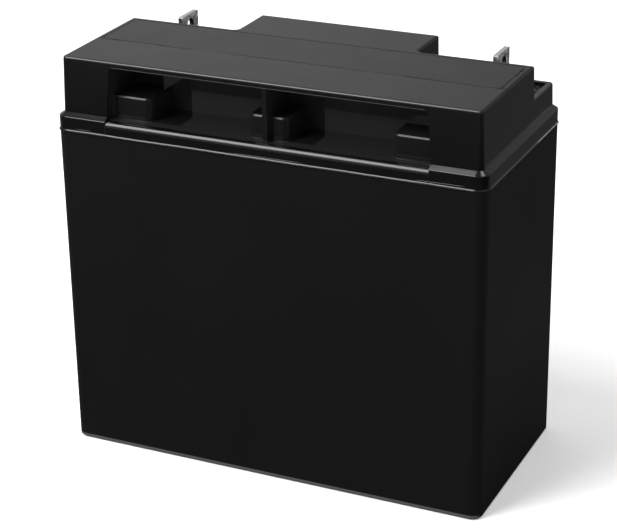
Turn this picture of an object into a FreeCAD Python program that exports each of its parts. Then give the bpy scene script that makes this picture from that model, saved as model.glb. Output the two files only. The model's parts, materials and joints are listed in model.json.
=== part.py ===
"""Valve-regulated AGM lead-acid battery, a 12 V block of six cells in a row.

Millimetres, +Z up, origin at the centre of the base. +X runs along the row of cells, -Y is the side with the
hand-grip recess, and the two flag terminals stand in the rear corners.
"""
import FreeCAD, Part
import os

V = FreeCAD.Vector

# Overall block
length = 181.0
width = 87.0
height = 167.0

# Container
wall = 2.5
floor = 3.0
partition = 1.6
cell_pairs = 3
base_edge = 1.0
tongue_height = 3.0
tongue_thickness = 1.2
tongue_corner = 2.2
joint_clearance = 0.1

# Weld seam round the foot of the lid, the widest part of the block
seam_reach = 0.45
seam_land = 0.25
seam_height = 0.8
seam_corner = 4.85

# Lid shell
lid_height = 30.0
skirt_height = 6.0
skirt_round = 0.4
bevel_inset = 2.2
bevel_height = 1.4
block_taper = 0.8
lid_wall = 2.2
top_round = 1.0
rear_block_margin = 2.3
rear_block_fillet = 2.5

# Hand-grip recess in the front of the lid
grip_end = 20.05
grip_lean = 1.4
grip_depth = 22.45
grip_lip = 2.6
grip_lip_round = 0.4
grip_edge_round = 2.0
boss_setback = 4.4
boss_height = 9.4
boss_wall = 2.0
boss_corner = 2.8
boss_edge = 0.55
grip_rib = 1.9
grip_rib_setback = 1.5

# Vent well and its cover
cover_thickness = 2.0
cover_front_land = 4.8
cover_rear_land = 2.3
cover_end_land = 2.3
cover_ledge = 1.4
cover_corner = 1.5
cover_edge = 0.25
cover_gap = 0.25
well_depth = 10.5
well_floor = 2.0
chimney_radius = 4.3
chimney_bore = 2.0
chimney_height = 6.5
valve_wall = 1.2
valve_crown = 1.6
valve_skirt = 5.5
valve_clearance = 0.05
valve_lift = 0.4
hold_down_spacing = 5.0
hold_down_wall = 1.0

# Terminal pockets
pocket_depth = 21.5
pocket_drop = 13.7
pocket_rim = 2.2
pocket_rim_height = 1.3
pocket_rim_edge = 0.4
resin_depth = 5.0
resin_sink = 0.3
resin_land = 1.0

# Flag terminals
blade_offset = 4.7
blade_width = 13.5
blade_thickness = 2.0
blade_height = 15.0
blade_corner = 0.6
blade_rear_gap = 0.8
terminal_hole = 5.5
hole_below_top = 4.8

# End poles and their rings
pole_radius = 4.0
pole_clearance = 0.3
head_lift = 1.5
head_height = 3.0
head_margin = 1.5
blade_seat = 1.5
ring_section = 1.2
ring_clearance = 0.05

# Plates, mats, straps and connectors
positive_plates = 4
positive_plate = 2.6
negative_plate = 1.9
plate_side_gap = 0.4
plate_headroom = 19.0
mat_margin = 1.0
mat_rise = 3.0
lug_width = 8.0
lug_height = 6.0
strap_width = 10.0
strap_height = 5.0
post_clearance = 0.4
connector_length = 10.4
connector_width = 9.0
connector_height = 3.8
connector_room = 1.0

# How closely an edge must lie to a plane to be picked for rounding
tolerance = 0.01

# Levels
shoulder_height = height - lid_height
z_seam = shoulder_height + seam_height
z_skirt = shoulder_height + skirt_height
z_block = z_skirt + bevel_height
z_ceiling = height - grip_lip
z_seat = height - cover_thickness
z_well = z_seat - well_depth
z_rim = height - pocket_drop
z_pocket = z_rim - pocket_rim_height
z_resin = z_pocket - resin_sink
z_resin_floor = z_resin - resin_depth
z_head = z_resin_floor + head_lift
z_blade = z_head + head_height - blade_seat
plate_top = shoulder_height - plate_headroom
z_strap = plate_top + lug_height

# Container plan, which the skirt of the lid shares
cell_count = 2 * cell_pairs
body_length = length - 2 * seam_reach
body_width = width - 2 * seam_reach
body_corner = seam_corner - seam_reach
inner_length = body_length - 2 * wall
inner_width = body_width - 2 * wall
pitch = (inner_length + partition) / cell_count
cell_length = pitch - partition
boundaries = [(n - cell_pairs) * pitch for n in range(1, cell_count)]
cell_centres = [(n - cell_pairs + 0.5) * pitch for n in range(cell_count)]

# Lid plan
block_front = bevel_inset - body_width / 2
block_rear = body_width / 2 - bevel_inset
block_end = body_length / 2 - bevel_inset
block_corner = body_corner - bevel_inset
top_front = block_front + block_taper
top_rear = block_rear - block_taper
top_end = block_end - block_taper
rim_taper = block_taper * (z_rim - z_block) / (height - z_block)
pocket_rear = block_rear - rim_taper - pocket_rim
pocket_end = block_end - rim_taper - pocket_rim
main_rear = pocket_rear - pocket_depth
grip_half = block_end - grip_end
grip_back = block_front + grip_depth
boss_front = block_front + boss_setback
boss_half = connector_length / 2 + connector_room + boss_wall
boss_top = z_skirt + boss_height
rear_block_half = (cell_pairs - 2) * pitch + connector_length / 2 + rear_block_margin + lid_wall
cover_front = grip_back + cover_front_land
cover_rear = main_rear - cover_rear_land
cover_end = top_end - cover_end_land
valve_y = (cover_front + cover_rear) / 2
well_start = (cell_pairs - 1) * pitch + partition / 2 + resin_land

# Where the posts and the terminals stand
front_post_y = boss_front + boss_wall + connector_room + connector_width / 2
rear_post_y = pocket_rear - blade_rear_gap - blade_width / 2
connector_top = boss_top - boss_wall - connector_room
connector_base = connector_top - connector_height
blade_x = cell_centres[-1] - blade_offset
blade_top = z_resin + blade_height
hole_z = blade_top - hole_below_top

# Plate stack of one cell
mat_count = 2 * positive_plates
mat = (cell_length - positive_plates * positive_plate - (positive_plates + 1) * negative_plate) / mat_count
mat_half = inner_width / 2 - plate_side_gap
plate_half = mat_half - mat_margin


def box(x_low, x_high, y_low, y_high, z_low, z_high):
    """A block between two opposite corners."""
    return Part.makeBox(x_high - x_low, y_high - y_low, z_high - z_low, V(x_low, y_low, z_low))


def outline(x_low, x_high, y_low, y_high, radius, z):
    """A level rectangle with round corners, as a closed wire."""
    corners = (
        (x_high - radius, y_low + radius, -90),
        (x_high - radius, y_high - radius, 0),
        (x_low + radius, y_high - radius, 90),
        (x_low + radius, y_low + radius, 180),
    )
    arcs = [Part.makeCircle(radius, V(x, y, z), V(0, 0, 1), turn, turn + 90) for x, y, turn in corners]
    edges = []
    for arc, following in zip(arcs, arcs[1:] + arcs[:1]):
        end = arc.valueAt(arc.LastParameter)
        start = following.valueAt(following.FirstParameter)
        edges += [arc, Part.makeLine(end, start)]
    return Part.Wire(edges)


def centred_outline(x_size, y_size, radius, z):
    """The same rectangle about the origin."""
    return outline(-x_size / 2, x_size / 2, -y_size / 2, y_size / 2, radius, z)


def prism(wire, rise):
    """The solid that a level outline sweeps straight up."""
    return Part.Face(wire).extrude(V(0, 0, rise))


def frustum(low, high):
    """A straight-sided solid from one outline up to another."""
    return Part.makeLoft([low, high], True, True)


def edges_where(shape, test):
    """The edges whose bounding box passes a test."""
    return [edge for edge in shape.Edges if test(edge.BoundBox)]


def level(bounds, z):
    """Whether an edge lies at one height."""
    return abs(bounds.ZMin - z) < tolerance and abs(bounds.ZMax - z) < tolerance


def mirrored(shape):
    """The same shape on the other side of the middle plane across the row of cells."""
    return shape.mirror(V(0, 0, 0), V(1, 0, 0))


def container():
    """The box with its partitions, and the tongue round its top that enters the lid."""
    shape = prism(centred_outline(body_length, body_width, body_corner, 0), shoulder_height)
    shape = shape.makeChamfer(base_edge, edges_where(shape, lambda b: level(b, 0)))
    tongue = centred_outline(
        inner_length + 2 * tongue_thickness,
        inner_width + 2 * tongue_thickness,
        tongue_corner,
        shoulder_height,
    )
    shape = shape.fuse(prism(tongue, tongue_height))
    x_in = inner_length / 2
    y_in = inner_width / 2
    spaces = [box(-x_in, x_in, -y_in, y_in, shoulder_height, shoulder_height + tongue_height)]
    for x in cell_centres:
        spaces.append(box(x - cell_length / 2, x + cell_length / 2, -y_in, y_in, floor, shoulder_height))
    return shape.cut(spaces).removeSplitter()


def rear_corner(shape):
    """A block of air beside the rear middle block, with its upright edge in the inner corner rounded."""
    edges = edges_where(
        shape,
        lambda b: b.XMax < rear_block_half + tolerance and b.YMax < main_rear + tolerance,
    )
    return shape.makeFillet(rear_block_fillet, edges)


def lid_outside():
    """Seam, skirt, bevel and drafted upper block, with the rear corners stepped down for the terminals."""
    seam = prism(centred_outline(length, width, seam_corner, shoulder_height), seam_land)
    roll = frustum(
        centred_outline(length, width, seam_corner, shoulder_height + seam_land),
        centred_outline(body_length, body_width, body_corner, z_seam),
    )
    skirt = prism(centred_outline(body_length, body_width, body_corner, z_seam), z_skirt - z_seam)
    bevel = frustum(
        centred_outline(body_length, body_width, body_corner, z_skirt),
        centred_outline(2 * block_end, 2 * block_rear, block_corner, z_block),
    )
    block = frustum(
        centred_outline(2 * block_end, 2 * block_rear, block_corner, z_block),
        centred_outline(2 * top_end, 2 * top_rear, block_corner - block_taper, height),
    )
    step = rear_corner(box(rear_block_half, length, main_rear, width, z_rim, 2 * height))
    block = block.cut(step).cut(mirrored(step))
    block = block.makeFillet(top_round, edges_where(block, lambda b: level(b, height)))
    rim_edges = edges_where(
        block,
        lambda b: level(b, z_rim) and (b.Center.y > pocket_rear or abs(b.Center.x) > pocket_end),
    )
    block = block.makeChamfer(pocket_rim_edge, rim_edges)
    shape = skirt.fuse([seam, roll, bevel, block]).removeSplitter()
    return shape.makeFillet(skirt_round, edges_where(shape, lambda b: level(b, z_skirt)))


def grip_void():
    """The air in the hand-grip recess: a leaning window with three bosses and a rib left standing in it."""
    section = Part.makePolygon([
        V(-grip_half, -width, z_skirt),
        V(grip_half, -width, z_skirt),
        V(grip_half - grip_lean, -width, z_ceiling),
        V(grip_lean - grip_half, -width, z_ceiling),
        V(-grip_half, -width, z_skirt),
    ])
    shape = Part.Face(section).extrude(V(0, grip_back + width, 0))
    fronts = boundaries[0::2]
    for x in fronts:
        x_low = x - boss_half
        x_high = x + boss_half
        if x == fronts[0]:
            x_low = -length / 2
        if x == fronts[-1]:
            x_high = length / 2
        boss = prism(outline(x_low, x_high, boss_front, main_rear, boss_corner, z_skirt), boss_top - z_skirt)
        boss = boss.makeChamfer(boss_edge, edges_where(boss, lambda b: level(b, boss_top)))
        shape = shape.cut(boss)
    rib = box(-grip_rib / 2, grip_rib / 2, block_front + grip_rib_setback, main_rear, z_skirt, height)
    return shape.cut(rib)


def grip_edge():
    """The corner that is rounded off where the recess floor runs out over the skirt."""
    y = grip_edge_round - body_width / 2
    z = z_skirt - grip_edge_round
    corner = box(-grip_half, grip_half, y - 2 * grip_edge_round, y, z, z_skirt)
    bar = Part.makeCylinder(grip_edge_round, 2 * grip_half, V(-grip_half, y, z), V(1, 0, 0))
    return corner.cut(bar)


def lid_hollow():
    """The air under the lid, cell by cell, with the passages for the connectors over the partitions."""
    seat = prism(
        centred_outline(
            inner_length + 2 * (tongue_thickness + joint_clearance),
            inner_width + 2 * (tongue_thickness + joint_clearance),
            tongue_corner + joint_clearance,
            shoulder_height,
        ),
        tongue_height + joint_clearance,
    )
    x_in = inner_length / 2
    x_up = top_end - lid_wall
    y_in = inner_width / 2
    y_up = top_rear - lid_wall
    under_grip = z_skirt - lid_wall
    behind_grip = grip_back + lid_wall
    spaces = [
        box(-x_in, x_in, -y_in, y_in, shoulder_height, under_grip),
        box(-x_up, x_up, behind_grip, main_rear - lid_wall, shoulder_height, z_well - well_floor),
        box(-x_up, x_up, main_rear - lid_wall, y_up, shoulder_height, z_resin_floor - lid_wall),
        box(
            lid_wall - rear_block_half, rear_block_half - lid_wall, main_rear, y_up,
            shoulder_height, height - lid_wall,
        ),
    ]
    end_block = box(
        grip_half + lid_wall, x_up, top_front + lid_wall, grip_back,
        shoulder_height, height - lid_wall,
    )
    spaces += [end_block, mirrored(end_block)]
    shape = seat.fuse(spaces)
    for x in boundaries:
        rib = box(x - partition / 2, x + partition / 2, -y_in, y_in, shoulder_height, height)
        shape = shape.cut(rib)
    passages = []
    for n, x in enumerate(boundaries):
        half = connector_length / 2 + connector_room
        reach = connector_width / 2 + connector_room
        y_low = front_post_y - reach
        y_high = behind_grip
        if n % 2:
            y_low = rear_post_y - reach
            y_high = y_up
        z_high = connector_top + connector_room
        passages.append(box(x - half, x + half, y_low, y_high, shoulder_height, z_high))
    return shape.fuse(passages)


def vent_well():
    """The seat of the vent cover and the well under it, with the chimneys left standing."""
    seat = prism(
        outline(-cover_end, cover_end, cover_front, cover_rear, cover_corner, z_seat),
        cover_thickness,
    )
    well = prism(
        outline(
            cover_ledge - cover_end, cover_end - cover_ledge,
            cover_front + cover_ledge, cover_rear - cover_ledge,
            cover_corner, z_well,
        ),
        well_depth,
    )
    shape = seat.fuse(well)
    for x in cell_centres:
        shape = shape.cut(Part.makeCylinder(chimney_radius, chimney_height, V(x, valve_y, z_well)))
        bore = Part.makeCylinder(
            chimney_bore, chimney_height + 2 * well_floor, V(x, valve_y, z_well - 2 * well_floor)
        )
        shape = shape.fuse(bore)
    return shape


def resin_well(rise):
    """The right resin well, filled from its floor to a rise above it."""
    y_low = main_rear + resin_land
    return box(well_start, pocket_end, y_low, pocket_rear, z_resin_floor, z_resin_floor + rise)


def pocket():
    """The air in the right terminal pocket: tray, resin well, the pole's bore and the ring's seat."""
    tray = rear_corner(box(rear_block_half, pocket_end, main_rear, pocket_rear, z_pocket, z_rim))
    x = cell_centres[-1]
    bore = Part.makeCylinder(
        pole_radius + pole_clearance, 2 * lid_wall, V(x, rear_post_y, z_resin_floor - 2 * lid_wall)
    )
    ring_seat = Part.makeCylinder(
        pole_radius + ring_section + 2 * ring_clearance,
        ring_section,
        V(x, rear_post_y, z_resin_floor - ring_section),
    )
    return tray.fuse([resin_well(resin_depth + resin_sink), bore, ring_seat])


def lid():
    """The moulded lid in one piece."""
    shape = lid_outside().cut(grip_void())
    lip = edges_where(
        shape,
        lambda b: level(b, z_ceiling) and b.YMax < boss_front and b.XLength > grip_half / 2,
    )
    shape = shape.makeFillet(grip_lip_round, lip)
    right = pocket()
    return shape.cut([grip_edge(), lid_hollow(), vent_well(), right, mirrored(right)]).removeSplitter()


def vent_cover():
    """The flat cover, with two long ribs under it that keep the valve caps on."""
    plate = prism(
        outline(
            cover_gap - cover_end, cover_end - cover_gap,
            cover_front + cover_gap, cover_rear - cover_gap,
            cover_corner - cover_gap, z_seat,
        ),
        cover_thickness,
    )
    plate = plate.makeChamfer(cover_edge, edges_where(plate, lambda b: level(b, height)))
    z_rib = z_well + chimney_height + valve_crown + valve_lift
    reach = cell_centres[-1] + chimney_radius
    ribs = []
    for side in (-1, 1):
        y = valve_y + side * hold_down_spacing / 2
        ribs.append(box(-reach, reach, y - hold_down_wall / 2, y + hold_down_wall / 2, z_rib, z_seat))
    return plate.fuse(ribs).removeSplitter()


def valve_cap(x):
    """A rubber cap that grips its chimney and lies on the rim of the bore."""
    inner = chimney_radius + valve_clearance
    outer = inner + valve_wall
    rim = z_well + chimney_height
    section = Part.makePolygon([
        V(0, 0, rim),
        V(inner, 0, rim),
        V(inner, 0, rim - valve_skirt),
        V(outer, 0, rim - valve_skirt),
        V(outer, 0, rim + valve_crown),
        V(0, 0, rim + valve_crown),
        V(0, 0, rim),
    ])
    cap = Part.Face(section).revolve(V(0, 0, 0), V(0, 0, 1), 360)
    cap.translate(V(x, valve_y, 0))
    return cap


def terminal():
    """The right flag: an upright blade with its hole, whose foot stands in the slot of the pole's head."""
    x_in = blade_x - blade_thickness / 2
    y_low = rear_post_y - blade_width / 2
    shape = box(x_in, x_in + blade_thickness, y_low, y_low + blade_width, z_blade, blade_top)
    corners = edges_where(shape, lambda b: level(b, blade_top) and b.YLength < tolerance)
    shape = shape.makeFillet(blade_corner, corners)
    hole = Part.makeCylinder(terminal_hole / 2, blade_thickness, V(x_in, rear_post_y, hole_z), V(1, 0, 0))
    return shape.cut(hole)


def pole_ring():
    """The square rubber ring round the right pole, in its seat under the resin."""
    inner = pole_radius + ring_clearance
    foot = V(cell_centres[-1], rear_post_y, z_resin_floor - ring_section)
    ring = Part.makeCylinder(inner + ring_section, ring_section, foot)
    return ring.cut(Part.makeCylinder(inner, ring_section, foot))


def pole():
    """The right pole, from its strap up to a flat head with the slot that the terminal stands in."""
    z_low = z_strap + strap_height
    shaft = Part.makeCylinder(pole_radius, z_head - z_low, V(cell_centres[-1], rear_post_y, z_low))
    head = box(
        blade_x - blade_thickness / 2 - head_margin, cell_centres[-1] + pole_radius,
        rear_post_y - blade_width / 2, rear_post_y + blade_width / 2,
        z_head, z_head + head_height,
    )
    return shaft.fuse(head.cut(terminal()))


def resin():
    """The resin poured round the head of the right pole and the foot of the terminal."""
    return resin_well(resin_depth).cut([terminal(), pole()])


def plate_starts(cell):
    """Where the plates of a cell begin along X: the positive ones, then the negative ones."""
    first = cell_centres[cell] - cell_length / 2
    step = negative_plate + positive_plate + 2 * mat
    positive = [first + negative_plate + mat + n * step for n in range(positive_plates)]
    negative = [first + n * step for n in range(positive_plates + 1)]
    return positive, negative


def plate_group(cell, positive):
    """Plates of one sign with their lugs, the strap cast over the lugs and its post or pole."""
    positive_starts, negative_starts = plate_starts(cell)
    starts, thickness, z_low = negative_starts, negative_plate, floor
    if positive:
        starts, thickness, z_low = positive_starts, positive_plate, floor + mat
    at_front = positive == (cell % 2 == 0)
    y = front_post_y if at_front else rear_post_y
    joins_right = at_front == (cell % 2 == 0)
    has_pole = not at_front and cell in (0, cell_count - 1)
    pieces = []
    for x in starts:
        pieces.append(box(x, x + thickness, -plate_half, plate_half, z_low, plate_top))
        pieces.append(box(x, x + thickness, y - lug_width / 2, y + lug_width / 2, plate_top, z_strap))
    x_low = starts[0]
    x_high = starts[-1] + thickness
    z_top = z_strap + strap_height
    if has_pole:
        pieces.append(pole() if cell else mirrored(pole()))
    else:
        side = 1 if joins_right else -1
        border = cell_centres[cell] + side * pitch / 2
        near = border - side * (partition / 2 + post_clearance)
        far = border - side * connector_length / 2
        post_low = min(near, far)
        post_high = max(near, far)
        x_low = min(x_low, post_low)
        x_high = max(x_high, post_high)
        pieces.append(
            box(post_low, post_high, y - connector_width / 2, y + connector_width / 2, z_top, connector_base)
        )
    strap = box(x_low, x_high, y - strap_width / 2, y + strap_width / 2, z_strap, z_top)
    return strap.fuse(pieces).removeSplitter()


def separators(cell):
    """Glass mats, each folded under and up both sides of a positive plate."""
    mats = []
    for x in plate_starts(cell)[0]:
        z_top = plate_top + mat_rise
        folded = box(x - mat, x + positive_plate + mat, -mat_half, mat_half, floor, z_top)
        mats.append(folded.cut(box(x, x + positive_plate, -mat_half, mat_half, floor + mat, z_top)))
    return Part.makeCompound(mats)


def connector(n):
    """The bar welded across the two posts on either side of a partition."""
    y = rear_post_y if n % 2 else front_post_y
    x = boundaries[n]
    half_x = connector_length / 2
    half_y = connector_width / 2
    return box(x - half_x, x + half_x, y - half_y, y + half_y, connector_base, connector_top)


parts = {
    "container": container(),
    "lid": lid(),
    "vent_cover": vent_cover(),
    "positive_terminal": terminal(),
    "negative_terminal": mirrored(terminal()),
    "positive_resin": resin(),
    "negative_resin": mirrored(resin()),
    "pole_rings": Part.makeCompound([pole_ring(), mirrored(pole_ring())]),
    "valve_caps": Part.makeCompound([valve_cap(x) for x in cell_centres]),
}
for cell in range(cell_count):
    parts[f"cell_{cell + 1}_positive_plates"] = plate_group(cell, True)
    parts[f"cell_{cell + 1}_negative_plates"] = plate_group(cell, False)
    parts[f"cell_{cell + 1}_separators"] = separators(cell)
for n in range(len(boundaries)):
    parts[f"intercell_connector_{n + 1}"] = connector(n)

os.makedirs("parts", exist_ok=True)
for name, shape in parts.items():
    shape.exportStep(f"parts/{name}.step")
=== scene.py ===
import json
import math

import bpy
from mathutils import Matrix, Vector, noise


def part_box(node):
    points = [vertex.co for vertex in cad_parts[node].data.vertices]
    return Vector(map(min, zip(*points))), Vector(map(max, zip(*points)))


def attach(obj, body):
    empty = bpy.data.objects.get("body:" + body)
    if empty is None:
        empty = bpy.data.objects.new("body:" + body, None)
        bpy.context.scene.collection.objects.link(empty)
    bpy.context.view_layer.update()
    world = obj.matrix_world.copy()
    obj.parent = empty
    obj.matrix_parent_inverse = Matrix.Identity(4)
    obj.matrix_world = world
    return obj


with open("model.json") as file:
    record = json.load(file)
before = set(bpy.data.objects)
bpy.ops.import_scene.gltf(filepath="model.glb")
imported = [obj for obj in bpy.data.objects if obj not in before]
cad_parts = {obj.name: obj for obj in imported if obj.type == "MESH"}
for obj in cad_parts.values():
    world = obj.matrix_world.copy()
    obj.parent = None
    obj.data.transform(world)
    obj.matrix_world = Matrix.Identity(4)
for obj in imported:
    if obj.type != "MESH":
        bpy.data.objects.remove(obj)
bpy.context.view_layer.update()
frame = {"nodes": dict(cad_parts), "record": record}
nodes = frame["nodes"]

MM = 0.001


def in_mm(node):
    low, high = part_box(node)
    return low / MM, high / MM


# Sizes and places in millimetres, from the boxes of the solids and the lid's own sizes

lid_low, lid_high = in_mm("lid")
body_low, body_high = in_mm("container")
cover_low, cover_high = in_mm("vent_cover")

body_corner = 4.4
weld_height = 0.8
skirt_height = 6.0
block_inset = 2.2
lip_inset = 0.72
lip_height = 2.6
grip_half = 67.8
grip_lean = 1.4
grip_depth = 22.45
boss_inset = 4.4
boss_height = 9.4
boss_corner = 2.8
boss_half = 8.2
boss_x = 58.9
rib_half = 0.95
cover_gap = 0.25
cover_corner = 1.5

shoulder = lid_low.z
skirt_top = shoulder + skirt_height
top = lid_high.z
block_front = body_low.y + block_inset
lip_front = block_front + lip_inset
grip_back = block_front + grip_depth
boss_front = block_front + boss_inset
boss_top = skirt_top + boss_height
terminal_hole = next(m for m in frame["record"]["mounts"] if m["name"] == "positive_terminal_hole")

# Open stretches of the joint round the vent cover: start, end and the length over which each fades
open_front = ((-84.4, -76.5, 1.5), (-57.0, -45.0, 3.0), (50.0, 84.0, 6.0))
open_end = ((1.7, 4.7, 0.5), (7.7, 9.0, 0.5), (-13.2, -11.6, 0.5))

# Strands that have come loose from the weld in front: start, end and height over the weld
weld_strands = ((-82.0, -74.0, 0.75), (-14.0, 18.0, 0.5), (62.0, 83.5, 0.8))


# Node helpers


def rgba(colour):
    """A number stands for a grey, and a socket stays as it is."""
    if isinstance(colour, bpy.types.NodeSocket):
        return colour
    if isinstance(colour, float):
        colour = (colour, colour, colour)
    return (*colour, 1.0)


class Net:
    """A material with one Principled shader, and short ways to add the nodes that feed it.

    x, y and z give the place on the object in millimetres, and nx, ny and nz the way the surface faces.
    """

    def __init__(self, name):
        self.material = bpy.data.materials.new(name)
        self.material.use_nodes = True
        self.tree = self.material.node_tree
        self.tree.nodes.clear()
        self.shader = self.tree.nodes.new("ShaderNodeBsdfPrincipled")
        output = self.tree.nodes.new("ShaderNodeOutputMaterial")
        self.tree.links.new(self.shader.outputs["BSDF"], output.inputs["Surface"])
        self.place = self.tree.nodes.new("ShaderNodeTexCoord").outputs["Object"]
        scaled = self.tree.nodes.new("ShaderNodeVectorMath")
        scaled.operation = "SCALE"
        scaled.inputs["Scale"].default_value = 1 / MM
        self.tree.links.new(self.place, scaled.inputs[0])
        self.x, self.y, self.z = self.split(scaled.outputs[0])
        geometry = self.tree.nodes.new("ShaderNodeNewGeometry")
        self.nx, self.ny, self.nz = self.split(geometry.outputs["Normal"])

    def split(self, vector):
        node = self.tree.nodes.new("ShaderNodeSeparateXYZ")
        self.tree.links.new(vector, node.inputs[0])
        return node.outputs

    def put(self, socket, value):
        if isinstance(value, bpy.types.NodeSocket):
            self.tree.links.new(value, socket)
        else:
            socket.default_value = value

    def set(self, **values):
        for name, value in values.items():
            self.put(self.shader.inputs[name.replace("_", " ")], value)

    def math(self, operation, a, b=0.0):
        node = self.tree.nodes.new("ShaderNodeMath")
        node.operation = operation
        self.put(node.inputs[0], a)
        self.put(node.inputs[1], b)
        return node.outputs[0]

    def ramp(self, value, low, high, at_low, at_high):
        node = self.tree.nodes.new("ShaderNodeMapRange")
        node.interpolation_type = "SMOOTHSTEP"
        for socket, number in zip(node.inputs[:5], (value, low, high, at_low, at_high)):
            self.put(socket, number)
        return node.outputs[0]

    def rise(self, value, low, high):
        return self.ramp(value, low, high, 0.0, 1.0)

    def fall(self, value, low, high):
        return self.ramp(value, low, high, 1.0, 0.0)

    def within(self, value, low, high, soft):
        return self.both(self.rise(value, low - soft, low), self.fall(value, high, high + soft))

    def both(self, first, *others):
        for other in others:
            first = self.math("MULTIPLY", first, other)
        return first

    def either(self, first, *others):
        for other in others:
            first = self.math("MAXIMUM", first, other)
        return first

    def mix(self, share, a, b):
        node = self.tree.nodes.new("ShaderNodeMix")
        self.put(node.inputs[0], share)
        self.put(node.inputs[2], a)
        self.put(node.inputs[3], b)
        return node.outputs[0]

    def colours(self, share, a, b):
        node = self.tree.nodes.new("ShaderNodeMix")
        node.data_type = "RGBA"
        self.put(node.inputs[0], share)
        self.put(node.inputs[6], rgba(a))
        self.put(node.inputs[7], rgba(b))
        return node.outputs[2]

    def noise(self, scale, detail, roughness=0.5, stretch=None):
        node = self.tree.nodes.new("ShaderNodeTexNoise")
        node.inputs["Scale"].default_value = scale
        node.inputs["Detail"].default_value = detail
        node.inputs["Roughness"].default_value = roughness
        place = self.place
        if stretch:
            mapping = self.tree.nodes.new("ShaderNodeMapping")
            mapping.inputs["Scale"].default_value = stretch
            self.tree.links.new(place, mapping.inputs["Vector"])
            place = mapping.outputs[0]
        self.tree.links.new(place, node.inputs["Vector"])
        return node.outputs["Fac"]

    def cells(self, scale):
        node = self.tree.nodes.new("ShaderNodeTexVoronoi")
        node.inputs["Scale"].default_value = scale
        self.tree.links.new(self.place, node.inputs["Vector"])
        return node.outputs["Distance"]

    def bump(self, height, depth, strength, under=None):
        """Relief of a depth in millimetres, on top of any relief under it."""
        node = self.tree.nodes.new("ShaderNodeBump")
        node.inputs["Distance"].default_value = depth * MM
        self.put(node.inputs["Strength"], strength)
        self.put(node.inputs["Height"], height)
        if under:
            self.tree.links.new(under, node.inputs["Normal"])
        self.tree.links.new(node.outputs[0], self.shader.inputs["Normal"])
        return node.outputs[0]


# The lid's plastic, zone by zone


def lid_roof(net):
    """The grained top, with the upper rim of the right side."""
    level = net.both(net.rise(net.nz, 0.5, 0.85), net.rise(net.z, top - 1.4, top - 0.8))
    rim = net.both(net.rise(net.nx, 0.05, 0.2), net.rise(net.z, top - 1.1, top - 0.95))
    return net.either(level, rim)


def lid_grip(net, across):
    """The inside of the hand grip."""
    soft = 0.1
    return net.both(
        net.fall(across, grip_half + 0.4, grip_half + 0.6),
        net.within(net.y, block_front + 1.0, grip_back + 0.4, soft),
        net.within(net.z, skirt_top - 0.1, top - 1.8, soft),
    )


def grip_painted_light(net, across):
    """Painted light inside the hand grip: greys that differ with the way a face looks, in place of the
    light and reflection each face would catch.
    """
    side_grey = 0.015
    level_grey = 0.0065
    front_grey = 0.006
    back_grey = 0.015
    end_grey = 0.016
    # Painted light: each facing in the grip gets its own grey, standing in for how much light it catches
    black = net.colours(net.rise(net.nz, 0.6, 0.8), side_grey, level_grey)
    black = net.colours(net.fall(net.ny, -0.8, -0.6), black, front_grey)
    black = net.colours(net.rise(net.y, grip_back - 0.4, grip_back - 0.2), black, back_grey)
    return net.colours(net.rise(across, grip_half - 1.8, grip_half - 1.6), black, end_grey)


def grip_rough(net, drift):
    """Roughness in the hand grip: polished, with a matt floor edge and a matt top on the right boss."""
    polished = (0.03, 0.05)
    slope_rough = 0.3
    matt_rough = 0.55
    floor_edge = net.both(
        net.fall(net.z, skirt_top + 0.3, skirt_top + 0.5),
        net.fall(net.y, boss_front + 1.0, boss_front + 1.2),
    )
    right_boss_top = net.both(
        net.within(net.z, boss_top - 0.2, boss_top + 0.2, 0.1),
        net.rise(net.nz, 0.9, 0.97),
        net.fall(net.y, grip_back - 5.0, grip_back - 4.5),
        net.rise(net.x, boss_half, 2 * boss_half),
    )
    boss_slope = net.both(
        net.within(net.nz, 0.55, 0.85, 0.05),
        net.rise(net.z, skirt_top + 5.0, skirt_top + 6.0),
    )
    rough = net.mix(boss_slope, net.mix(drift, *polished), slope_rough)
    return net.mix(net.either(floor_edge, right_boss_top), rough, matt_rough)


def open_joint(net, roof):
    """The open stretches of the joint round the vent cover, along its front and its right end."""
    soft = 0.1
    front_y = cover_low.y - cover_gap
    end_x = cover_high.x + cover_gap
    front = net.both(
        net.within(net.y, front_y - 0.45, front_y + 0.1, soft),
        net.either(*(net.within(net.x, *stretch) for stretch in open_front)),
    )
    end = net.both(
        net.within(net.x, end_x - 0.15, end_x + 0.55, soft),
        net.either(*(net.within(net.y, *stretch) for stretch in open_end)),
    )
    return net.both(roof, net.either(front, end))


def parting_lines(net, across):
    """The fine lines that the mould left in the skirt, under both ends of the hand grip."""
    return net.both(
        net.within(across, grip_half - 0.1, grip_half + 0.1, 0.06),
        net.within(net.z, shoulder + 0.9, skirt_top - 0.4, 0.3),
        net.fall(net.ny, -0.9, -0.8),
    )


def weld_painted_highlight_mask(net):
    """A painted highlight along a stretch of the weld at the right rear, broken up by noise."""
    start, end, fade = 18.0, 36.0, 6.0
    return net.both(
        net.within(net.z, shoulder + 0.35, shoulder + 0.6, 0.1),
        net.rise(net.x, body_high.x, body_high.x + 0.1),
        net.within(net.y, start, end, fade),
        net.rise(net.noise(scale=500.0, detail=2.0), 0.3, 0.5),
    )


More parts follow.
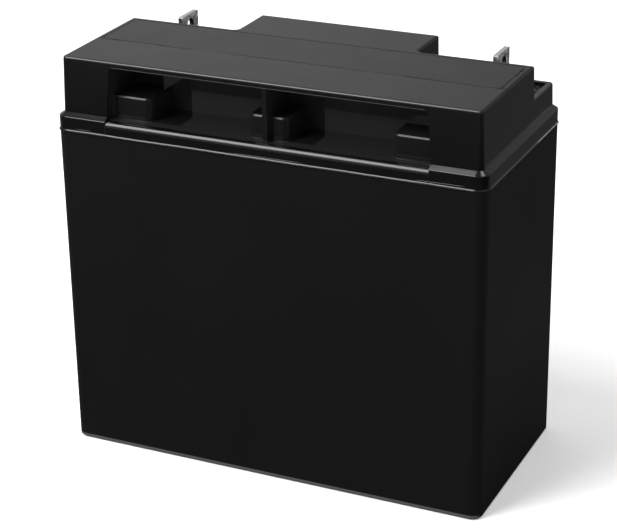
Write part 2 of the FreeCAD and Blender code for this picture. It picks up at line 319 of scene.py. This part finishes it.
def lid_plastic():
    outer_black = (0.0025, 0.0033)
    joint_painted_shade = 0.001
    weld_painted_highlight = 0.35
    side_rough = (0.15, 0.21)
    roof_rough = (0.43, 0.51)
    grain_rough = (0.0, 0.07)
    net = Net("lid_plastic")
    across = net.math("ABSOLUTE", net.x)
    drift = net.noise(scale=45.0, detail=3.0)
    grain = net.noise(scale=2600.0, detail=2.0, roughness=0.6)
    peel = net.noise(scale=240.0, detail=2.0)
    roof = lid_roof(net)
    grip = lid_grip(net, across)
    joint = open_joint(net, roof)
    parting = parting_lines(net, across)

    # Painted light inside the hand grip: its greys by facing stand in for the light there
    black = net.colours(grip, net.colours(drift, *outer_black), grip_painted_light(net, across))
    # Painted shade: the open stretches of the joint round the vent cover are darkened as the shade in
    # the gap
    black = net.colours(joint, black, joint_painted_shade)
    rough = net.mix(grip, net.mix(drift, *side_rough), grip_rough(net, drift))
    grained = net.math("ADD", net.mix(drift, *roof_rough), net.mix(grain, *grain_rough))
    rough = net.mix(roof, rough, grained)
    net.set(
        # Painted highlight: a light band on the weld at the right rear stands in for a glint there
        Base_Color=net.colours(weld_painted_highlight_mask(net), black, weld_painted_highlight),
        Roughness=net.mix(net.either(joint, parting), rough, 1.0),
        Specular_IOR_Level=0.35,
    )
    waves = net.bump(peel, depth=0.02, strength=net.mix(grip, 0.25, 0.0))
    lines = net.bump(parting, depth=0.1, strength=0.7, under=waves)
    grain_strength = net.mix(roof, net.mix(grip, 0.04, 0.0), 0.6)
    net.bump(grain, depth=0.05, strength=grain_strength, under=lines)
    return net.material


# The other materials


def cover_plastic():
    black = (0.0015, 0.003)
    flat_rough = (0.44, 0.53)
    grain_rough = (0.0, 0.07)
    net = Net("cover_plastic")
    drift = net.noise(scale=60.0, detail=3.0)
    grain = net.noise(scale=2400.0, detail=2.0, roughness=0.6)
    stretches = net.rise(net.noise(scale=30.0, detail=2.0), 0.44, 0.6)
    dull_edge = net.both(net.fall(net.nz, 0.9, 0.97), net.mix(stretches, 0.15, 1.0))
    grained = net.math("ADD", net.mix(drift, *flat_rough), net.mix(grain, *grain_rough))
    net.set(
        Base_Color=net.colours(drift, *black),
        Roughness=net.mix(dull_edge, grained, 1.0),
        Specular_IOR_Level=0.35,
    )
    net.bump(grain, depth=0.05, strength=0.6)
    return net.material


def container_plastic():
    black = (0.0037, 0.005)
    foot_painted_reflection = 0.062
    foot_height = 2.0
    net = Net("container_plastic")
    drift = net.noise(scale=22.0, detail=4.0)
    grain = net.noise(scale=1500.0, detail=2.0, roughness=0.55)
    reflection_breakup = net.noise(scale=420.0, detail=3.0)
    # Painted reflection: a light grey line along the front foot stands in for the floor mirrored in the
    # bottom edge, broken up by noise
    front_foot_reflection = net.both(
        net.fall(net.z, foot_height, foot_height + 0.2),
        net.fall(net.ny, -0.7, -0.4),
        net.rise(reflection_breakup, 0.1, 0.4),
    )
    net.set(
        Base_Color=net.colours(front_foot_reflection, net.colours(drift, *black), foot_painted_reflection),
        Roughness=net.mix(drift, 0.46, 0.58),
        Specular_IOR_Level=0.1,
    )
    net.bump(grain, depth=0.03, strength=0.3)
    return net.material


def terminal_metal():
    tin = (0.2, 0.9)
    top_painted_shade = 0.4
    hole_painted_shade = 0.06
    edge_rough = 0.75
    net = Net("terminal_metal")
    mottle = net.noise(scale=520.0, detail=4.0, roughness=0.7)
    scratch = net.noise(scale=160.0, detail=3.0, roughness=0.6, stretch=(1.0, 1.0, 16.0))
    hole_y, hole_z = (place / MM for place in terminal_hole["pos_m"][1:])
    hole_radius = terminal_hole["dims"]["r_mm"]
    y_squared = net.math("POWER", net.math("SUBTRACT", net.y, hole_y), 2.0)
    z_squared = net.math("POWER", net.math("SUBTRACT", net.z, hole_z), 2.0)
    from_axis = net.math("SQRT", net.math("ADD", y_squared, z_squared))
    # Painted shade: a dark grey in and round the hole stands for the shade inside it
    inside = net.fall(from_axis, hole_radius + 0.05, hole_radius + 0.2)
    # Painted shade: the up-facing faces of the blades get a plain dimmer grey to damp their highlight
    top_edge = net.rise(net.nz, 0.2, 0.4)
    metal = net.colours(top_edge, net.colours(net.rise(mottle, 0.36, 0.6), *tin), top_painted_shade)
    net.set(
        Base_Color=net.colours(inside, metal, hole_painted_shade),
        Metallic=1.0,
        Roughness=net.mix(top_edge, net.mix(mottle, 0.28, 0.55), edge_rough),
    )
    dents = net.bump(mottle, depth=0.08, strength=0.5)
    net.bump(scratch, depth=0.02, strength=0.35, under=dents)
    return net.material


def resin(name, fleck_grey):
    base_grey = 0.006
    net = Net(name)
    grains = net.cells(scale=700.0)
    cloud = net.noise(scale=300.0, detail=4.0, roughness=0.7)
    flecks = net.both(net.fall(grains, 0.2, 0.4), net.rise(cloud, 0.4, 0.6))
    net.set(
        Base_Color=net.colours(flecks, base_grey, fleck_grey),
        Roughness=net.mix(cloud, 0.5, 0.8),
        Specular_IOR_Level=0.12,
    )
    lumps = net.bump(cloud, depth=0.5, strength=0.8)
    net.bump(grains, depth=0.4, strength=0.7, under=lumps)
    return net.material


def lead():
    dark = (0.16, 0.17, 0.19)
    light = (0.36, 0.37, 0.4)
    net = Net("lead")
    cloud = net.noise(scale=180.0, detail=4.0, roughness=0.65)
    pits = net.noise(scale=1100.0, detail=2.0)
    net.set(
        Base_Color=net.colours(cloud, dark, light),
        Metallic=0.8,
        Roughness=net.mix(cloud, 0.45, 0.7),
    )
    net.bump(pits, depth=0.08, strength=0.5)
    return net.material


def glass_mat():
    dark = (0.62, 0.62, 0.6)
    light = (0.86, 0.86, 0.84)
    net = Net("glass_mat")
    fibres = net.noise(scale=900.0, detail=3.0, roughness=0.7, stretch=(1.0, 6.0, 1.0))
    net.set(
        Base_Color=net.colours(fibres, dark, light),
        Roughness=net.mix(fibres, 0.8, 0.95),
        Specular_IOR_Level=0.2,
    )
    net.bump(fibres, depth=0.1, strength=0.7)
    return net.material


def valve_rubber():
    black = (0.012, 0.03)
    net = Net("valve_rubber")
    dust = net.noise(scale=700.0, detail=3.0)
    net.set(
        Base_Color=net.colours(dust, *black),
        Roughness=net.mix(dust, 0.55, 0.75),
        Specular_IOR_Level=0.3,
    )
    net.bump(dust, depth=0.05, strength=0.4)
    return net.material


finishes = {
    "container_plastic": container_plastic(),
    "lid_plastic": lid_plastic(),
    "cover_plastic": cover_plastic(),
    "terminal_metal": terminal_metal(),
    "positive_resin": resin("positive_resin", fleck_grey=0.3),
    "negative_resin": resin("negative_resin", fleck_grey=0.22),
    "lead": lead(),
    "glass_mat": glass_mat(),
    "valve_rubber": valve_rubber(),
}
for subpart in frame["record"]["subparts"]:
    mesh = nodes[subpart["node"]].data
    mesh.materials.clear()
    mesh.materials.append(finishes[subpart["material_slot"]])


# Small forms of the moulding that the solids leave out, in millimetres


def add_piece(name, mesh, slot):
    for polygon in mesh.polygons:
        polygon.use_smooth = True
    mesh.materials.append(finishes[slot])
    piece = bpy.data.objects.new(name, mesh)
    bpy.context.scene.collection.objects.link(piece)
    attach(piece, "root")


def bars(name, slot, sweeps):
    """One piece from several bars, each a list of cross-sections, closed on itself or with flat ends."""
    points = []
    faces = []
    for sections, closed in sweeps:
        first = len(points)
        size = len(sections[0])
        count = len(sections)
        points += [(x * MM, y * MM, z * MM) for section in sections for x, y, z in section]
        for i in range(count if closed else count - 1):
            near = first + i * size
            far = first + (i + 1) % count * size
            for j in range(size):
                k = (j + 1) % size
                faces.append((near + j, near + k, far + k, far + j))
        if not closed:
            faces.append(tuple(range(first + size - 1, first - 1, -1)))
            faces.append(tuple(range(first + (count - 1) * size, first + count * size)))
    mesh = bpy.data.meshes.new(name)
    mesh.from_pydata(points, [], faces)
    mesh.update()
    add_piece(name, mesh, slot)


def arc(x, y, radius, start, way=1, count=6):
    """Points along a quarter circle from a starting angle, each with its outward direction."""
    points = []
    for i in range(count + 1):
        a = math.radians(start + way * 90 * i / count)
        points.append((x + radius * math.cos(a), y + radius * math.sin(a), math.cos(a), math.sin(a)))
    return points


def full_turn(count):
    return [2 * math.pi * i / count for i in range(count)]


def waver(x, y, pace, layer):
    """A smooth random swing to both sides of zero, the same on every run."""
    return noise.noise((x * pace[0], y * pace[1], layer))


def rounded(low, high, radius, step, outset=0.0):
    """Points round a box with round corners, anticlockwise from its left front corner.

    The outset moves the four sides outwards. Each point comes with its outward direction.
    """
    left = low.x - outset + radius
    right = high.x + outset - radius
    front = low.y - outset + radius
    back = high.y + outset - radius
    centres = ((left, front), (right, front), (right, back), (left, back))
    path = []
    for n, (x, y) in enumerate(centres):
        path += arc(x, y, radius, 180 + 90 * n)
        start_x, start_y, out_x, out_y = path[-1]
        next_x, next_y = centres[(n + 1) % len(centres)]
        count = max(1, round(math.hypot(next_x - x, next_y - y) / step))
        for i in range(1, count):
            share = i / count
            path.append((start_x + (next_x - x) * share, start_y + (next_y - y) * share, out_x, out_y))
    return path


def lip_bead():
    """The rolled edge along the bottom of the lip over the hand grip."""
    half = grip_half - grip_lean
    over_edge = 0.26
    z = top - lip_height + over_edge
    radius = 0.1
    wander = 0.03
    steps = 90
    sections = []
    for n in range(steps + 1):
        x = half * (2 * n / steps - 1)
        y = lip_front + wander * waver(x, 1.0, pace=(0.06, 3.1), layer=0.0)
        sections.append([(x, y - radius * math.cos(a), z + radius * math.sin(a)) for a in full_turn(10)])
    bars("lip_bead", "lid_plastic", [(sections, False)])


def boss_paths(sunk):
    """The four lines along the fronts and sides of the bosses, each point with its outward direction."""

    def corner(edge_x, side):
        x = edge_x - side * boss_corner
        return arc(x, boss_front + boss_corner, boss_corner, -90, side, count=8)

    inner_edge = boss_half - boss_x
    back = grip_back + sunk
    left = [(sunk - grip_half, boss_front, 0, -1)]
    left += corner(inner_edge, 1)
    left += [(inner_edge, back, 1, 0)]
    middle = [(-boss_half, back, -1, 0)]
    middle += reversed(corner(-boss_half, -1))
    middle += [(sunk - rib_half, boss_front, 0, -1)]
    paths = []
    for path in (left, middle):
        paths += [path, [(-x, y, -out_x, out_y) for x, y, out_x, out_y in reversed(path)]]
    return paths


def boss_coves():
    """The hollow fillets at the feet of the bosses."""
    radius = 0.2
    sunk = 0.1
    profile = [(-sunk, skirt_top - sunk)]
    profile += [(out, z) for out, z, _, _ in arc(radius, skirt_top + radius, radius, 270, -1)]
    sweeps = []
    for path in boss_paths(sunk):
        sections = [[(x + ox * out, y + oy * out, z) for out, z in profile] for x, y, ox, oy in path]
        sweeps.append((sections, False))
    bars("boss_coves", "lid_plastic", sweeps)


def vent_seam():
    """The melted plastic round the vent cover, deep in some stretches and nearly flush in others."""
    half = 0.2
    foot = top - 1.4
    least_depth = 0.12
    deepening = 0.7
    crown = 0.04
    middle = cover_gap / 2
    sections = []
    for x, y, ox, oy in rounded(cover_low, cover_high, cover_corner - middle, step=1.0, outset=middle):
        slow = waver(x, y, pace=(0.035, 0.11), layer=7.0)
        fast = waver(x, y, pace=(0.16, 0.3), layer=2.0)
        crest = top - least_depth - deepening * max(0.0, slow + 0.5 * fast + 0.1)
        profile = ((-half, foot), (half, foot), (half, crest), (0.0, crest + crown), (-half, crest))
        sections.append([(x + ox * out, y + oy * out, z) for out, z in profile])
    bars("vent_seam", "cover_plastic", [(sections, True)])


def weld_roll():
    """Cross-sections of the uneven roll of plastic that the lid's weld squeezed out all round."""
    root = -0.15
    reach = 0.44
    chin = shoulder + 0.1
    sections = []
    for x, y, ox, oy in rounded(body_low, body_high, body_corner, step=0.9):
        slow = waver(x, y, pace=(0.05, 0.05), layer=4.0)
        fast = waver(x, y, pace=(0.4, 0.4), layer=9.0)
        nose = shoulder + 0.34 + 0.06 * slow + 0.04 * fast
        brow = shoulder + weld_height + 0.02 + 0.1 * slow + 0.07 * fast
        profile = (
            (root, chin), (reach - 0.01, chin), (reach + 0.005, chin + 0.1), (reach, nose),
            (0.12, brow), (0.03, brow + 0.1), (root, brow + 0.12),
        )
        sections.append([(x + ox * out, y + oy * out, z) for out, z in profile])
    return sections


def weld_strand(start, end, rise):
    """Cross-sections of a thin strand over the weld, climbing to the right and tapered at both ends."""
    thick = 0.17
    thin = 0.01
    taper = 6
    low_end = 0.6
    climb = 0.3
    sway = 0.08
    steps = 40
    foot = shoulder + weld_height + 0.05
    sections = []
    for n in range(steps + 1):
        share = n / steps
        x = start + (end - start) * share
        size = thick * min(1.0, taper * share, taper * (1 - share)) + thin
        z = foot + rise * (low_end + climb * share) + sway * waver(x, 1.0, pace=(0.35, 1.0), layer=5.0)
        ring = [(x, body_low.y - size * math.cos(a), z + size * math.sin(a)) for a in full_turn(6)]
        sections.append(ring)
    return sections


def weld_flash():
    sweeps = [(weld_roll(), True)]
    sweeps += [(weld_strand(*strand), False) for strand in weld_strands]
    bars("weld_flash", "lid_plastic", sweeps)


lip_bead()
boss_coves()
vent_seam()
weld_flash()


# Floor, light and camera, in metres


def sheet(name, material, half_x, half_y, z):
    """A level rectangle round the origin."""
    mesh = bpy.data.meshes.new(name)
    signs = ((-1, -1), (1, -1), (1, 1), (-1, 1))
    mesh.from_pydata([(half_x * i, half_y * j, z) for i, j in signs], [], [(0, 1, 2, 3)])
    mesh.materials.append(material)
    piece = bpy.data.objects.new(name, mesh)
    bpy.context.scene.collection.objects.link(piece)
    return piece


def floor():
    reach = 6.0
    pale = (0.9, 0.92)
    glow = 0.25
    net = Net("studio_floor")
    rays = net.tree.nodes.new("ShaderNodeLightPath").outputs
    seen = net.either(rays["Is Camera Ray"], rays["Is Glossy Ray"], rays["Is Transmission Ray"])
    net.set(
        Base_Color=net.colours(net.noise(scale=6.0, detail=2.0), *pale),
        Roughness=0.9,
        Specular_IOR_Level=0.0,
        Emission_Color=(1, 1, 1, 1),
        Emission_Strength=net.math("MULTIPLY", seen, glow),
    )
    piece = sheet("studio_floor", net.material, reach, reach, 0)


def flag():
    """A dark card under the object that only glossy faces see, in place of the white floor; its greys
    are painted reflections, set zone by zone.
    """
    front_grey = 0.035
    side_grey = 0.22
    back_grey = 0.09
    corner_grey = 0.01
    half_x = 0.8
    half_y = 0.9
    over_floor = 0.0005
    net = Net("studio_flag")
    # Painted reflections: the card's greys by zone set how bright each glossy face of the object mirrors
    rear = net.colours(net.rise(net.y, 60.0, 300.0), side_grey, back_grey)
    plain = net.colours(net.rise(net.y, -100.0, 0.0), front_grey, rear)
    corner = net.both(net.rise(net.x, 300.0, 340.0), net.fall(net.y, 150.0, 250.0))
    net.set(
        Base_Color=net.colours(corner, plain, corner_grey),
        Roughness=0.9,
        Specular_IOR_Level=0.0,
    )
    piece = sheet("studio_flag", net.material, half_x, half_y, over_floor)
    piece.visible_camera = False
    piece.visible_diffuse = False
    piece.visible_shadow = False


def softbox(name, direction, distance, size, radiance, along=(0, 0, 1), facing=None):
    """A rectangular lamp in a direction from the object, turned to it or to the way it should face."""
    aim = Vector((0, 0, 0.12))
    light = bpy.data.lights.new(name, "AREA")
    light.shape = "RECTANGLE"
    width, height = size
    light.size = width
    light.size_y = height
    light.energy = radiance * math.pi * width * height
    lamp = bpy.data.objects.new(name, light)
    bpy.context.scene.collection.objects.link(lamp)
    away = Vector(direction).normalized()
    back = Vector(facing or direction).normalized()
    upward = Vector(along)
    upward = (upward - upward.dot(back) * back).normalized()
    turn = Matrix((upward.cross(back), upward, back)).transposed().to_4x4()
    lamp.matrix_world = Matrix.Translation(aim + away * distance) @ turn


def lamps():
    softbox(
        "tall", direction=(-0.41, -0.522, 0.745), distance=1.5, size=(0.7, 1.2), radiance=12.0,
        along=(0, 0.745, 0.522),
    )
    softbox(
        "low", direction=(-0.72, -1.4546, 0.7144), distance=1.7733, size=(0.65, 0.38), radiance=1.5,
        facing=(0, -0.918, 0.397),
    )
    softbox(
        "over", direction=(-0.30, -0.03, 0.95), distance=1.5, size=(0.3, 0.24), radiance=5.2,
        along=(0, 1, 0),
    )
    softbox(
        "spark", direction=(0.31, 0.26, 0.92), distance=1.5, size=(0.4, 0.4), radiance=6.5,
        along=(0, 1, 0),
    )
    softbox("fill", direction=(0.75, -0.6, 0.28), distance=2.0, size=(1.2, 0.6), radiance=0.7)
    softbox("rear", direction=(-0.62, 0.72, 0.48), distance=1.8, size=(1.5, 1.3), radiance=0.72)


def sky():
    ambient = 0.4
    world = bpy.data.worlds.new("studio")
    bpy.context.scene.world = world
    world.use_nodes = True
    background = world.node_tree.nodes["Background"]
    background.inputs["Color"].default_value = (1, 1, 1, 1)
    background.inputs["Strength"].default_value = ambient


def camera():
    """The camera that was fitted to the object's corners in the photograph."""
    photo_width = 617
    focal_pixels = 1978.945
    place = (0.312741, -0.670457, 0.399878)
    yaw = math.radians(25.084)
    pitch = math.radians(-23.61)
    roll = math.radians(-0.94)
    view = bpy.data.cameras.new("camera")
    view.sensor_fit = "HORIZONTAL"
    view.sensor_width = 36.0
    view.lens = focal_pixels * view.sensor_width / photo_width
    view.clip_start = 0.01
    piece = bpy.data.objects.new("camera", view)
    bpy.context.scene.collection.objects.link(piece)
    turn = Matrix.Rotation(yaw, 4, "Z")
    turn @= Matrix.Rotation(math.pi / 2 + pitch, 4, "X")
    turn @= Matrix.Rotation(roll, 4, "Z")
    piece.matrix_world = Matrix.Translation(place) @ turn
    bpy.context.scene.camera = piece


floor()
flag()
sky()
lamps()
camera()
bpy.context.scene.view_settings.view_transform = "Standard"
